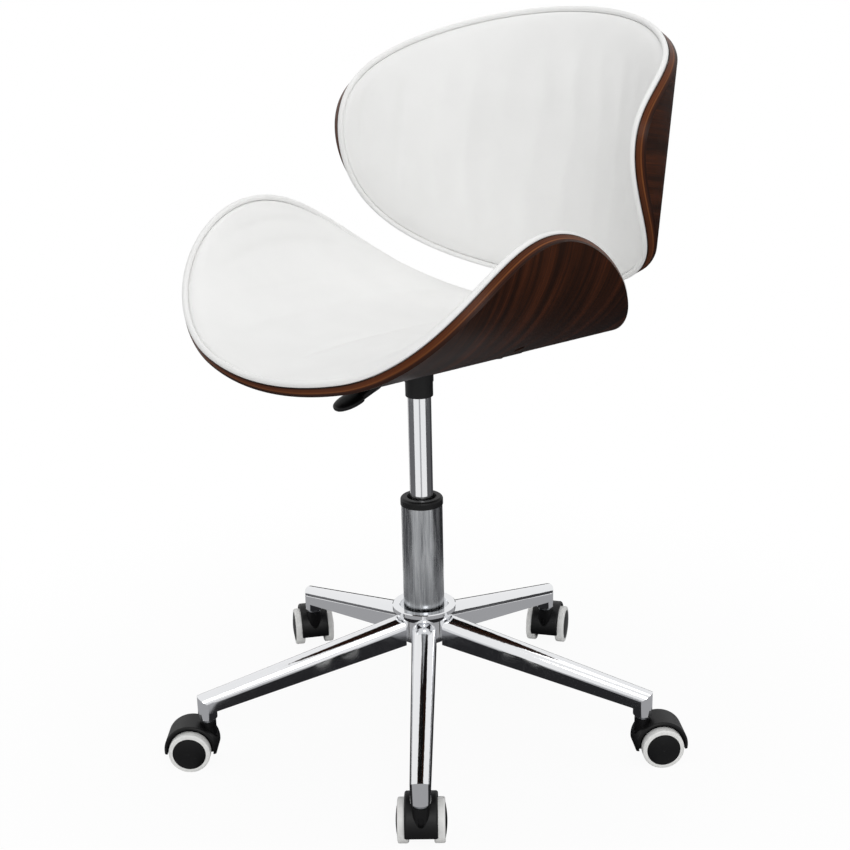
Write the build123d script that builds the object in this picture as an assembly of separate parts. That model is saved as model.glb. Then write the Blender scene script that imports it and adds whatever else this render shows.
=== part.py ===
from build123d import *
from math import asin, cos, hypot, pi, radians, sin
import os

# Office chair: two bent plywood shells with padded covers, on a gas lift and a base of five castors.
# Millimetres, +Z up. The floor is z = 0, the lift's axis is the Z axis and the sitter faces -Y.


class Sheet:
    """A sheet bent about one direction, with an oval rim that is cut square to it.

    A place on it is s, the way round the bend from the middle, v, the way along the straight lines,
    and height, above the inner face. Its own axes are x across, y along the straight lines and z out
    of the inner face at the middle.
    """

    def __init__(self, middle_r, middle_half, wing_r, half_width, shoulder, half_length,
                 wing_shift, end_point, waist, place):
        self.middle_r = middle_r
        self.middle_half = middle_half
        self.wing_r = wing_r
        self.half_width = half_width
        self.shoulder = shoulder
        self.half_length = half_length
        self.wing_shift = wing_shift
        self.end_point = end_point
        self.waist = waist
        self.place = place.location

    def angle(self, s):
        wing = max(abs(s) - self.middle_half, 0) / self.wing_r
        turn = min(abs(s), self.middle_half) / self.middle_r + wing
        return turn if s >= 0 else -turn

    def bent(self, s, height):
        """Section point (x, z) of the sheet, from its two blended radii."""
        a = abs(self.angle(s))
        joint = min(a, self.middle_half / self.middle_r)
        r = self.wing_r if abs(s) > self.middle_half else self.middle_r
        lead = self.middle_r - r
        x = lead * sin(joint) + (r - height) * sin(a)
        z = self.middle_r - lead * cos(joint) - (r - height) * cos(a)
        return (x if s >= 0 else -x), z

    def rim(self, t):
        s = self.half_width * ((1 - self.shoulder) * cos(t) + self.shoulder * cos(3 * t))
        v = self.half_length * sin(t) + self.end_point * sin(3 * t)
        v -= self.wing_shift * (1 - cos(2 * t)) / 2 + self.waist * (1 - cos(4 * t)) / 2
        return s, v

    def rim_point(self, t, inset, height):
        step = 0.001
        s, v = self.rim(t)
        ahead = self.rim(t + step)
        behind = self.rim(t - step)
        ds, dv = ahead[0] - behind[0], ahead[1] - behind[1]
        run = hypot(ds, dv)
        x, z = self.bent(s - inset * dv / run, height)
        return Vector(x, v + inset * ds / run, z)

    def rim_loop(self, inset, height):
        turns = [2 * pi * k / rim_points for k in range(rim_points)]
        return Edge.make_spline([self.rim_point(t, inset, height) for t in turns], periodic=True)

    def section(self, low, high, reach):
        """Bent band between two heights, |s| up to reach, as a face across the straight lines."""
        m = min(self.middle_half, reach)
        stations = [0, m] if reach <= m else [0, m, (m + reach) / 2, reach]
        with BuildSketch(Plane.XZ) as face:
            with BuildLine():
                for height in (low, high):
                    right = [self.bent(s, height) for s in stations]
                    left = [(-x, z) for x, z in right]
                    ThreePointArc(left[1], right[0], right[1])
                    if len(stations) > 2:
                        ThreePointArc(*right[1:])
                        ThreePointArc(*left[1:])
                for side in (reach, -reach):
                    Line(self.bent(side, low), self.bent(side, high))
            make_face()
        return face.sketch

    def band(self, low, high, reach, start, end):
        return Pos(0, start, 0) * extrude(self.section(low, high, reach), amount=start - end)

    def blank(self, low, high, inset, draw=0.0):
        """Band between two heights, cut round by the ruled face between two rims. Draw slopes the face in."""
        ends = self.half_length + abs(self.wing_shift) + cut_margin
        slab = self.band(low, high, self.half_width + cut_margin, -ends, ends)
        over, under = high + cut_over, low - cut_over
        edge = Face.make_surface_from_curves(self.rim_loop(inset - draw * cut_over, under),
                                             self.rim_loop(inset + draw * (over - low), over))
        pieces = [solid for piece in slab.split(edge, keep=Keep.ALL) for solid in piece.solids()]
        return min(pieces, key=lambda solid: solid.bounding_box().diagonal)

    def fullness(self, s, v):
        """1 in the middle of the pad, 0 on the rim and a little less beyond it."""
        across = max(-1.0, min(1.0, s / self.half_width))
        t = asin(across)
        rear = self.rim(pi / 2 - t)[1]
        front = self.rim(t - pi / 2)[1]
        half = max((rear - front) / 2, 1.0)
        along = max(-beyond_rim, min(beyond_rim, (v - (rear + front) / 2) / half))
        return (1 - along ** 4) * (1 - across ** 4)

    def pad(self, edge_h, middle_h):
        """Crowned pad on the inner face: a blank with drawn-in sides, under a domed face."""
        reach = self.half_width + cut_margin / 2
        front = self.rim(-pi / 2)[1] - cut_margin / 2
        rear = self.rim(pi / 2)[1] + cut_margin / 2
        rows = []
        for i in range(dome_rows):
            s = reach * (2 * i / (dome_rows - 1) - 1)
            row = []
            for j in range(dome_rows):
                v = front + (rear - front) * j / (dome_rows - 1)
                x, z = self.bent(s, edge_h + (middle_h - edge_h) * self.fullness(s, v))
                row.append(Vector(x, v, z))
            rows.append(row)
        dome = Face.make_surface_from_array_of_points(rows, tol=dome_tol)
        block = self.blank(soft_gap, 1.5 * middle_h, pad_inset, pad_draw)
        pieces = [solid for piece in block.split(dome, keep=Keep.ALL) for solid in piece.solids()]
        return min(pieces, key=lambda solid: solid.center().Z)

    def welt(self):
        """Covered cord round the pad: ruled faces between rims that lie round its section."""
        loops = []
        for k in range(welt_sides):
            turn = 2 * pi * (k + 0.5) / welt_sides
            loops.append(self.rim_loop(welt_inset + welt_r * cos(turn), welt_gap + welt_r + welt_r * sin(turn)))
        faces = [Face.make_surface_from_curves(loops[k - 1], loops[k]) for k in range(welt_sides)]
        return Solid(Shell(faces))

    def peg(self, s, v, r, low, high):
        """Round peg square to the sheet, between two heights."""
        x, z = self.bent(s, low)
        across = Plane(origin=(x, v, z), x_dir=(0, 1, 0), z_dir=(-sin(self.angle(s)), 0, cos(self.angle(s))))
        return across.location * Cylinder(r, high - low, align=(Align.CENTER, Align.CENTER, Align.MIN))


# Shells, pads and welts
sheet_t = 10.0
seat_tilt = radians(4.1)
back_lean = radians(9.2)
seat_sheet = Sheet(middle_r=399.0, middle_half=97.0, wing_r=163.0, half_width=304.5, shoulder=0.07,
                   half_length=274.0, wing_shift=-70.0, end_point=-2.4, waist=4.6,
                   place=Plane(origin=(0, -47.0, 496.6), x_dir=(1, 0, 0),
                               z_dir=(0, sin(seat_tilt), cos(seat_tilt))))
back_sheet = Sheet(middle_r=241.5, middle_half=217.0, wing_r=144.5, half_width=324.0, shoulder=-0.02,
                   half_length=162.0, wing_shift=8.4, end_point=-7.2, waist=6.9,
                   place=Plane(origin=(0, 300.7, 703.7), x_dir=(1, 0, 0),
                               z_dir=(0, -cos(back_lean), sin(back_lean))))
rim_points = 32
cut_margin = 25.0
cut_over = 4.0
shell_edge_r = 1.2
soft_gap = 0.4
pad_inset = 5.0
pad_draw = 0.6
seat_pad_edge_h, seat_pad_middle_h = 8.0, 26.0
back_pad_edge_h, back_pad_middle_h = 8.0, 24.0
beyond_rim = 1.05
dome_rows = 15
dome_tol = 0.05
welt_r = 3.5
welt_gap = 0.7
welt_inset = 0.8
welt_sides = 8

# Back bracket and its bolts
strip_t = 6.0
strip_half = 40.0
strip_bend_r = 16.0
seat_leg = (175.0, 338.0)
back_leg = (-150.0, -15.0)
strip_behind_seat = 9.0
strip_kick = 40.0
bracket_bolt_half = 22.0
seat_leg_bolts = (205.0, 290.0)
back_leg_bolts = (-100.0, -40.0)
bolt_r = 3.0
bolt_head_r, bolt_head_h = 6.5, 4.0
bolt_into_sheet = 8.0

# Seat plate: formed plate, shallow pan, taper socket
plate_t = 3.0
plate_half = 85.0
plate_v = (-48.0, 142.0)
plate_corner_r = 12.0
plate_bolt_s = 60.0
plate_bolt_v = (-25.0, 119.0)
pan_half_x, pan_half_y = 36.0, 46.0
pan_floor_z = 462.0
pan_wall = 2.5
pan_corner_r = 10.0
socket_bottom_z = 437.0
socket_r = 16.5
socket_step_z, socket_step_r = 455.0, 17.3
screw_places = ((150.0, 40.0), (100.0, -120.0))
screw_recess_r, screw_recess_depth = 6.5, 5.0
screw_head_r, screw_head_h, screw_r = 4.5, 2.5, 2.0

# Gas lift
column_r, column_wall, column_top_z = 25.0, 2.0, 301.0
column_foot_r, column_foot_z = 24.1, 128.0
column_taper_z = 163.0
foot_plate_t, foot_hole_r = 4.0, 6.0
run_gap = 0.06
cylinder_r, cylinder_bore_r = 14.0, 12.0
cylinder_bottom_z, cylinder_top_z = 264.0, 466.0
cylinder_top_r = 13.2
gland_t, valve_t = 4.0, 11.0
bush_flange_r, bush_flange_h = 25.8, 9.5
bush_bottom_z = 236.0
bush_funnel_r = 17.8
bush_round_r = 3.5
rod_r = 5.0
piston_h = 8.0
bearing_r, bearing_h = 12.0, 6.0
shoulder_r, shoulder_h = 9.0, 5.0
clip_r, clip_t, clip_drop = 9.0, 2.0, 0.5
rod_end_z = 121.0
pin_r, pin_out = 4.0, 4.0
pin_head_r, pin_head_h = 6.0, 4.0

# Height lever
lever_turn = 15.0
lever_pivot_out = 20.0
lever_clear = 0.3
lever_rod_r = 3.5
lever_droop = 18.0
lever_rod_length = 78.0
pivot_r = 2.5
barrel_r, barrel_half = 5.5, 6.0
cheek_gap, cheek_t, cheek_half, cheek_drop = 0.5, 3.0, 7.0, 8.0
handle_start, handle_ferrule, handle_length = 32.0, 16.0, 66.0
ferrule_r = 6.5
paddle_root_r, paddle_tip_r, paddle_t = 7.5, 11.5, 10.0
paddle_edge_r = 3.5

# Base
arm_count = 5
base_turn = -51.5
hub_r, hub_top_z = 31.5, 170.0
hub_ring_r, hub_ring_h, hub_flare = 39.0, 5.5, 8.0
hub_recess_r, hub_recess_depth = 29.5, 7.0
arm_root_r, arm_end_r = 24.0, 292.0
arm_top = (157.0, 93.0)
arm_low = (122.0, 70.0)
arm_half = (15.0, 11.5)
arm_wall = 2.0
stem_circle_r = 275.0
socket_low_z = 61.0
stem_hole_z = 84.0

# Castors: x along the trail, y along the axle, from the stem's axis on the floor
trail = 21.0
wheel_r = 25.0
castor_turns = (129.0, 44.0, 115.0, 141.0, 219.0)
hood_r, hood_half = 31.5, 18.5
hood_low_z = 20.5
hood_rim_r = 28.0
web_half = 13.0
hood_edge_r = 2.5
boss_r, boss_top_z, boss_low_z = 9.5, 56.5, 28.0
notch_half, notch_low_z, notch_high_z, notch_depth = 3.5, 34.0, 46.0, 3.0
stem_low_z, stem_pin_r, stem_flange_r, stem_flange_z = 35.0, 5.0, 8.5, 57.0
stem_top_z, stem_r = 82.0, 5.5
stem_floor_z = 34.0
axle_r, axle_half = 3.0, 24.0
tread_inner_y, tread_outer_y = 14.0, 26.4
core_r = 20.0
tread_round_r = 2.2
cap_r, cap_rise = 19.6, 2.2
hub_bore_end_y = 25.0


def ring(*profile):
    """Solid of revolution about Z from (radius, z) corners."""
    with BuildSketch(Plane.XZ) as face:
        with BuildLine():
            Polyline(*profile, close=True)
        make_face()
    return revolve(face.sketch, Axis.Z)


def tube(outer_r, inner_r, low, high):
    return ring((inner_r, low), (outer_r, low), (outer_r, high), (inner_r, high))


def rod(r, low, high):
    return Pos(0, 0, low) * Cylinder(r, high - low, align=(Align.CENTER, Align.CENTER, Align.MIN))


def round_about(count, start):
    return [Rot(0, 0, start + 360 * k / count) for k in range(count)]


def column_foot_at(z):
    share = (z - column_foot_z) / (column_taper_z - column_foot_z)
    return column_foot_r + (column_r - column_foot_r) * share


def make_hub():
    top, low = hub_top_z, column_foot_z
    ring_low = top - hub_ring_h
    recess_z = top - hub_recess_depth
    with BuildSketch(Plane.XZ) as face:
        with BuildLine():
            Polyline((hub_r, ring_low - hub_flare), (hub_r, low), (column_foot_r, low),
                     (column_foot_at(recess_z), recess_z), (hub_recess_r, recess_z), (hub_recess_r, top - 1),
                     (hub_recess_r + 1, top), (hub_ring_r - 1, top), (hub_ring_r, top - 1), (hub_ring_r, ring_low))
            RadiusArc((hub_ring_r, ring_low), (hub_r, ring_low - hub_flare), hub_flare)
        make_face()
    return revolve(face.sketch, Axis.Z)


def arm_face(out, shrink, drop):
    """Inverted U across the arm at a distance out from the axis."""
    share = (out - hub_r) / (stem_circle_r - hub_r)
    top = arm_top[0] + (arm_top[1] - arm_top[0]) * share - shrink
    low = arm_low[0] + (arm_low[1] - arm_low[0]) * share - drop
    half = arm_half[0] + (arm_half[1] - arm_half[0]) * share - shrink
    spring = top - half
    lean = half * sin(pi / 4)
    with BuildSketch(Plane(origin=(out, 0, 0), x_dir=(0, 1, 0), z_dir=(1, 0, 0))) as face:
        with BuildLine():
            Polyline((-half, spring), (-half, low), (half, low), (half, spring))
            ThreePointArc((half, spring), (lean, spring + lean), (0, top))
            ThreePointArc((0, top), (-lean, spring + lean), (-half, spring))
        make_face()
    return face.sketch


def make_arm(hub_space):
    """Pressed arm along +X, open below, turned down into the castor socket at its end."""
    outside = loft([arm_face(arm_root_r, 0, 0), arm_face(arm_end_r, 0, 0)], ruled=True)
    knuckle = Pos(stem_circle_r, 0, 0) * rod(arm_half[1], socket_low_z, arm_top[0])
    length = 2 * stem_circle_r
    inboard = Pos(stem_circle_r - length / 2, 0, 0) * Box(length, length, length)
    end = knuckle & (outside + Pos(stem_circle_r, 0, 0) * rod(arm_half[1], socket_low_z, arm_low[1] + arm_half[1]))
    inside_end = stem_circle_r - arm_half[1] - arm_wall
    inside = loft([arm_face(arm_root_r, arm_wall, arm_half[0]), arm_face(inside_end, arm_wall, arm_half[0])],
                  ruled=True)
    hole = Pos(stem_circle_r, 0, 0) * rod(stem_r, socket_low_z, stem_hole_z)
    return (outside & inboard) + end - inside - hole - hub_space


def make_column():
    inner = column_r - column_wall
    floor = column_foot_z + foot_plate_t
    return ring((foot_hole_r, column_foot_z), (column_foot_r, column_foot_z), (column_r, column_taper_z),
                (column_r, column_top_z), (inner, column_top_z), (inner, column_taper_z),
                (column_foot_r - column_wall, floor), (foot_hole_r, floor))


def make_bush():
    top = column_top_z + bush_flange_h
    bore = cylinder_r + run_gap
    body = ring((bore, bush_bottom_z), (column_r - column_wall, bush_bottom_z),
                (column_r - column_wall, column_top_z), (bush_flange_r, column_top_z),
                (bush_flange_r, top), (bush_funnel_r, top), (bore, top - bush_flange_h))
    top_rim = body.edges().filter_by(GeomType.CIRCLE).group_by(Axis.Z)[-1].sort_by(SortBy.RADIUS)[-1]
    return fillet(top_rim, bush_round_r)


def make_cylinder():
    bore_low = cylinder_bottom_z + gland_t
    bore_high = cylinder_top_z - valve_t
    return ring((rod_r + run_gap, cylinder_bottom_z), (cylinder_r, cylinder_bottom_z), (cylinder_r, socket_bottom_z),
                (cylinder_top_r, cylinder_top_z), (pin_r + run_gap, cylinder_top_z), (pin_r + run_gap, bore_high),
                (cylinder_bore_r, bore_high), (cylinder_bore_r, bore_low), (rod_r + run_gap, bore_low))


def make_piston_rod():
    seat_z = column_foot_z + foot_plate_t + bearing_h + run_gap
    piston_z = cylinder_bottom_z + gland_t + lever_clear
    stud = rod(rod_r, rod_end_z, piston_z)
    shoulder = rod(shoulder_r, seat_z, seat_z + shoulder_h)
    piston = rod(cylinder_bore_r - run_gap, piston_z, piston_z + piston_h)
    return stud + shoulder + piston


def make_bearing():
    floor = column_foot_z + foot_plate_t
    return tube(bearing_r, rod_r + run_gap, floor, floor + bearing_h)


def make_clip():
    top = column_foot_z - clip_drop
    return tube(clip_r, rod_r, top - clip_t, top)


def make_release_pin():
    low = cylinder_top_z - valve_t - lever_clear - pin_head_h
    return rod(pin_head_r, low, low + pin_head_h) + rod(pin_r, low, cylinder_top_z + pin_out)


lever_z = cylinder_top_z + pin_out + lever_clear + lever_rod_r
lever_frame = Rot(0, 0, -90 - lever_turn) * Pos(lever_pivot_out, 0, lever_z)
drooped = Rot(0, lever_droop, 0)
along_x = Rot(0, 90, 0)
across_y = Rot(90, 0, 0)


def make_lever_rod():
    """Bent rod: its nose over the valve pin, its barrel on the pivot, its tail in the handle."""
    nose = Pos(-lever_pivot_out, 0, 0) * along_x * rod(lever_rod_r, 0, lever_pivot_out)
    nose += Pos(-lever_pivot_out, 0, 0) * Sphere(lever_rod_r)
    tail = drooped * along_x * rod(lever_rod_r, 0, lever_rod_length)
    barrel = across_y * Cylinder(barrel_r, 2 * barrel_half)
    bore = across_y * Cylinder(pivot_r + run_gap, 4 * barrel_half)
    return lever_frame * (nose + tail + barrel - bore)


def make_lever_handle():
    """Moulded paddle: a round ferrule and a flat blade that widens to its tip."""
    blade_start = handle_start + handle_ferrule
    blade_end = handle_start + handle_ferrule + handle_length - paddle_tip_r - paddle_root_r
    with BuildSketch() as outline:
        with Locations((blade_start, 0)):
            Circle(paddle_root_r)
        with Locations((blade_end, 0)):
            Circle(paddle_tip_r)
        make_hull()
    blade = extrude(outline.sketch, amount=paddle_t / 2, both=True)
    blade = fillet(blade.edges().filter_by(Plane.XY), paddle_edge_r)
    ferrule = along_x * rod(ferrule_r, handle_start, blade_start)
    hole = along_x * rod(lever_rod_r, 0, lever_rod_length)
    return lever_frame * drooped * (blade + ferrule - hole)


def make_lever_pivot():
    half = barrel_half + cheek_gap + cheek_t
    return lever_frame * across_y * Cylinder(pivot_r, 2 * half)


def make_plate():
    """Formed plate under the seat, with the pan that holds the lever and the socket for the cylinder."""
    low, high = -sheet_t - plate_t, -sheet_t
    plate = seat_sheet.band(low, high, plate_half, *plate_v)
    corners = [e for e in plate.edges() if e.length < 2 * plate_t]
    plate = seat_sheet.place * fillet(corners, plate_corner_r)
    above = seat_sheet.place * seat_sheet.band(low, pan_half_y, 2 * plate_half, *plate_v)
    tall = 2 * pan_half_x
    size = (2 * pan_half_x, 2 * pan_half_y, tall)
    base = (Align.CENTER, Align.CENTER, Align.MIN)
    pan = Pos(0, 0, pan_floor_z) * Box(*size, align=base)
    pan = fillet(pan.edges().filter_by(Axis.Z), pan_corner_r)
    hollow = Box(size[0] - 2 * pan_wall, size[1] - 2 * pan_wall, tall, align=base)
    hollow = fillet(hollow.edges().filter_by(Axis.Z), pan_corner_r - pan_wall)
    pan -= Pos(0, 0, pan_floor_z + pan_wall) * hollow
    slot = Box(2 * pan_half_y, 2 * barrel_half, 6 * lever_rod_r, align=(Align.MIN, Align.CENTER, Align.MAX))
    pan -= lever_frame * Pos(2 * barrel_r - lever_rod_r, 0, 2 * lever_rod_r) * slot
    cheek_y = barrel_half + cheek_gap + cheek_t / 2
    for side in (-cheek_y, cheek_y):
        cheek = Box(2 * cheek_half, cheek_t, tall, align=base)
        pan += lever_frame * Pos(0, side, -cheek_drop) * cheek
    pan -= above
    pan -= make_lever_pivot()
    socket = ring((cylinder_r, socket_bottom_z), (socket_r, socket_bottom_z), (socket_r, socket_step_z),
                  (socket_step_r, socket_step_z), (socket_step_r, pan_floor_z + pan_wall),
                  (cylinder_r, pan_floor_z + pan_wall))
    body = plate + pan + socket
    seat_z = (socket_bottom_z, cylinder_top_z)
    bore = ring((0, seat_z[0]), (cylinder_r, seat_z[0]), (cylinder_top_r, seat_z[1]), (0, seat_z[1]))
    for s, v in plate_bolt_places():
        body -= seat_sheet.place * seat_sheet.peg(s, v, bolt_r, 2 * low, 0)
    return body - bore


def plate_bolt_places():
    return [(s, v) for s in (-plate_bolt_s, plate_bolt_s) for v in plate_bolt_v]


def bracket_bolt_places(rows):
    return [(s, v) for s in (-bracket_bolt_half, bracket_bolt_half) for v in rows]


def bolts_in(sheet, places, clamped):
    """Bolts square to the sheet, through a piece of the given thickness, from its outer side."""
    under = -sheet_t - clamped
    made = []
    for s, v in places:
        head = sheet.peg(s, v, bolt_head_r, under - bolt_head_h, under)
        head = fillet(head.edges().sort_by(Axis.Z)[0], bolt_head_h / 3)
        made.append(sheet.place * (head + sheet.peg(s, v, bolt_r, under, -sheet_t + bolt_into_sheet)))
    return made


def make_pad_screws():
    made = []
    floor = -sheet_t + screw_recess_depth
    for s, v in screw_places:
        for side in (-s, s):
            head = seat_sheet.peg(side, v, screw_head_r, floor - screw_head_h, floor)
            made.append(seat_sheet.place * (head + seat_sheet.peg(side, v, screw_r, floor, 0)))
    return made


def make_shell(sheet, bolt_places):
    shell = sheet.blank(-sheet_t, 0, 0)
    edge = shell.faces().filter_by(GeomType.BSPLINE)[0]
    shell = shell.fillet(shell_edge_r, [e for e in edge.edges() if e.length > 2 * sheet_t])
    for s, v in bolt_places:
        shell -= sheet.peg(s, v, bolt_r, -2 * sheet_t, -sheet_t + bolt_into_sheet)
    return shell


def make_seat_shell():
    shell = make_shell(seat_sheet, plate_bolt_places() + bracket_bolt_places(seat_leg_bolts))
    for s, v in screw_places:
        for side in (-s, s):
            shell -= seat_sheet.peg(side, v, screw_recess_r, -2 * sheet_t, -sheet_t + screw_recess_depth)
            shell -= seat_sheet.peg(side, v, screw_r, -2 * sheet_t, sheet_t)
    return seat_sheet.place * shell


def make_bracket():
    """Steel strip: a leg formed to each sheet and a bent length between them."""
    low, high = -sheet_t - strip_t, -sheet_t
    seat_part = seat_sheet.place * seat_sheet.band(low, high, strip_half, *seat_leg)
    back_part = back_sheet.place * back_sheet.band(low, high, strip_half, *back_leg)
    mid = (low + high) / 2
    rear_v = seat_sheet.rim(pi / 2)[1] + strip_behind_seat
    marks = [seat_sheet.place * Pos(0, v, mid) for v in (seat_leg[1] - strip_bend_r, rear_v)]
    marks.append(Pos(0, marks[1].position.Y, marks[1].position.Z + strip_kick))
    marks += [back_sheet.place * Pos(0, v, mid) for v in (back_leg[0], back_leg[0] + 2 * strip_bend_r)]
    with BuildSketch(Plane.YZ) as side:
        with BuildLine() as centre:
            FilletPolyline(*[(m.position.Y, m.position.Z) for m in marks], radius=strip_bend_r)
        trace(centre.line, strip_t)
    bend = extrude(side.sketch, amount=strip_half, both=True)
    inside_seat = seat_sheet.place * seat_sheet.band(high, sheet_t, 2 * strip_half, 0, seat_sheet.rim(pi / 2)[1])
    inside_back = back_sheet.place * back_sheet.band(high, sheet_t, 2 * strip_half, back_sheet.rim(-pi / 2)[1], 0)
    body = seat_part + bend + back_part - inside_seat - inside_back
    for sheet, rows in ((seat_sheet, seat_leg_bolts), (back_sheet, back_leg_bolts)):
        for s, v in bracket_bolt_places(rows):
            body -= sheet.place * sheet.peg(s, v, bolt_r, 2 * low, 0)
    return body


axle_line = Pos(trail, 0, wheel_r) * across_y


def wheel_disc(r, inner, outer):
    """Disc about the axle between two distances along it, on the +Y side."""
    return Pos(trail, 0, wheel_r) * Rot(-90, 0, 0) * rod(r, inner, outer)


def both_sides(piece):
    return piece, mirror(piece, Plane.XZ)


def make_hood():
    """Moulded hood: a web between the wheels, a guard over them and a boss for the stem."""
    guard = axle_line * Cylinder(hood_r, 2 * hood_half)
    guard = fillet(guard.edges().filter_by(GeomType.CIRCLE), hood_edge_r)
    guard += rod(boss_r, boss_low_z, boss_top_z)
    for space in both_sides(wheel_disc(hood_rim_r, web_half, 2 * hood_half)):
        guard -= space
    below = Pos(trail, 0, hood_low_z) * Box(4 * hood_r, 4 * hood_r, 4 * hood_r, align=(Align.CENTER, Align.CENTER, Align.MAX))
    guard -= below
    notch_mid = (notch_low_z + notch_high_z) / 2
    notch = Box(2 * notch_depth, 2 * notch_half, notch_high_z - notch_low_z)
    notch = fillet(notch.edges().filter_by(Axis.X), notch_half * 0.9)
    guard -= Pos(-boss_r, 0, notch_mid) * notch
    guard -= rod(stem_pin_r + run_gap, stem_floor_z, boss_top_z)
    return guard - axle_line * Cylinder(axle_r, 2 * axle_half)


def make_stem():
    pin = rod(stem_pin_r, stem_low_z, stem_flange_z)
    return pin + rod(stem_flange_r, stem_flange_z, socket_low_z) + rod(stem_r, socket_low_z, stem_top_z)


def make_core():
    """Wheel centre with a domed cap, on the +Y side."""
    dome_r = (cap_r ** 2 + cap_rise ** 2) / (2 * cap_rise)
    with BuildSketch(Plane.XZ) as face:
        with BuildLine():
            Polyline((axle_r + run_gap, hub_bore_end_y), (axle_r + run_gap, tread_inner_y), (core_r, tread_inner_y),
                     (core_r, tread_outer_y), (cap_r, tread_outer_y))
            RadiusArc((cap_r, tread_outer_y), (0, tread_outer_y + cap_rise), -dome_r)
            Polyline((0, tread_outer_y + cap_rise), (0, hub_bore_end_y), (axle_r + run_gap, hub_bore_end_y))
        make_face()
    return Pos(trail, 0, wheel_r) * Rot(-90, 0, 0) * revolve(face.sketch, Axis.Z)


def make_tread():
    band = tube(wheel_r, core_r, tread_inner_y, tread_outer_y)
    rims = [e for e in band.edges().filter_by(GeomType.CIRCLE) if e.radius > core_r + 1]
    return Pos(trail, 0, wheel_r) * Rot(-90, 0, 0) * fillet(rims, tread_round_r)


def write(name, *shapes):
    solids = [solid for shape in shapes for solid in shape.solids()]
    export_step(solids[0] if len(solids) == 1 else Compound(solids), f"parts/{name}.step")


def main():
    os.makedirs("parts", exist_ok=True)
    hub = make_hub()
    hub_space = ring((0, 0), (hub_r, 0), (hub_r, hub_top_z - hub_ring_h - hub_flare), (hub_r, hub_top_z), (0, hub_top_z))
    arm = make_arm(hub_space + hub)
    write("base_hub", hub)
    spokes = round_about(arm_count, base_turn)
    for number, spoke in enumerate(spokes, start=1):
        write(f"base_arm_{number}", spoke * arm)

    hood, axle, core, tread = make_hood(), axle_line * Cylinder(axle_r, 2 * axle_half), make_core(), make_tread()
    stems = []
    for number, (spoke, turn) in enumerate(zip(spokes, castor_turns), start=1):
        foot = Pos((spoke * Pos(stem_circle_r, 0, 0)).position)
        stems.append(foot * make_stem())
        castor = foot * Rot(0, 0, turn)
        write(f"castor_hood_{number}", castor * hood)
        write(f"castor_axle_{number}", castor * axle)
        for side, wheel_core, wheel_tread in zip(("left", "right"), both_sides(core), both_sides(tread)):
            write(f"wheel_core_{side}_{number}", castor * wheel_core)
            write(f"wheel_tread_{side}_{number}", castor * wheel_tread)
    write("castor_stems", *stems)

    write("outer_column", make_column())
    write("guide_bush", make_bush())
    write("gas_cylinder", make_cylinder())
    write("piston_rod", make_piston_rod())
    write("thrust_bearing", make_bearing())
    write("rod_clip", make_clip())
    write("release_pin", make_release_pin())
    write("lever_rod", make_lever_rod())
    write("lever_handle", make_lever_handle())
    write("lever_pivot", make_lever_pivot())

    write("seat_plate", make_plate())
    write("plate_bolts", *bolts_in(seat_sheet, plate_bolt_places(), plate_t))
    write("pad_screws", *make_pad_screws())
    write("seat_shell", make_seat_shell())
    write("back_shell", back_sheet.place * make_shell(back_sheet, bracket_bolt_places(back_leg_bolts)))
    write("back_bracket", make_bracket())
    write("bracket_bolts", *bolts_in(seat_sheet, bracket_bolt_places(seat_leg_bolts), strip_t),
          *bolts_in(back_sheet, bracket_bolt_places(back_leg_bolts), strip_t))
    write("seat_pad", seat_sheet.place * seat_sheet.pad(seat_pad_edge_h, seat_pad_middle_h))
    write("back_pad", back_sheet.place * back_sheet.pad(back_pad_edge_h, back_pad_middle_h))
    write("seat_welt", seat_sheet.place * seat_sheet.welt())
    write("back_welt", back_sheet.place * back_sheet.welt())


main()
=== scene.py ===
# %% [markdown]
# # An office chair with two bent walnut shells
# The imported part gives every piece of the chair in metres, already in its place. This lesson gives
# the rigid pieces the finish of the real material, makes four of them again in a finer shape, and
# makes the soft pieces, which a solid modeller can only hint at: two padded covers and the welts
# sewn round them.

import math

import bmesh
import bpy
import numpy as np
from mathutils import Matrix, Vector


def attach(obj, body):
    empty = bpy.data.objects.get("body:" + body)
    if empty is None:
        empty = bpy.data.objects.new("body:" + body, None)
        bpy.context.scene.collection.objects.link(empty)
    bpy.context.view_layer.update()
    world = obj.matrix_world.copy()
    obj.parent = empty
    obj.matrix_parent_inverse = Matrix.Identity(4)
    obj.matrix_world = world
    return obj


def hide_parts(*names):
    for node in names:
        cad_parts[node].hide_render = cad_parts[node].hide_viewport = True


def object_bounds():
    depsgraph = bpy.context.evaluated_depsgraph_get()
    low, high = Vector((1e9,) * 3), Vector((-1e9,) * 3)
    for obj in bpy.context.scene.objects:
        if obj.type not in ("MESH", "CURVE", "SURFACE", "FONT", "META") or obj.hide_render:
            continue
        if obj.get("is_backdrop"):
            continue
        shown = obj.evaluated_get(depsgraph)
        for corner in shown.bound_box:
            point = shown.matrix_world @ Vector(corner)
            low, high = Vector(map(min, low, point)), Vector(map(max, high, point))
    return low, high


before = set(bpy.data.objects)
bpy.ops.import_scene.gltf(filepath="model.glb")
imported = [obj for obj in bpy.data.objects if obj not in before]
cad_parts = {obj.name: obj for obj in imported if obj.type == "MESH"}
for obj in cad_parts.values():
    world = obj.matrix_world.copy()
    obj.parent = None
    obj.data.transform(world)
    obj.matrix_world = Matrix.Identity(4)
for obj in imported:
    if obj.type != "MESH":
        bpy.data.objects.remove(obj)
cad_low, cad_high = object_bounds()
print("size of the part in mm:", [round(1000 * x) for x in cad_high - cad_low])

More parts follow.
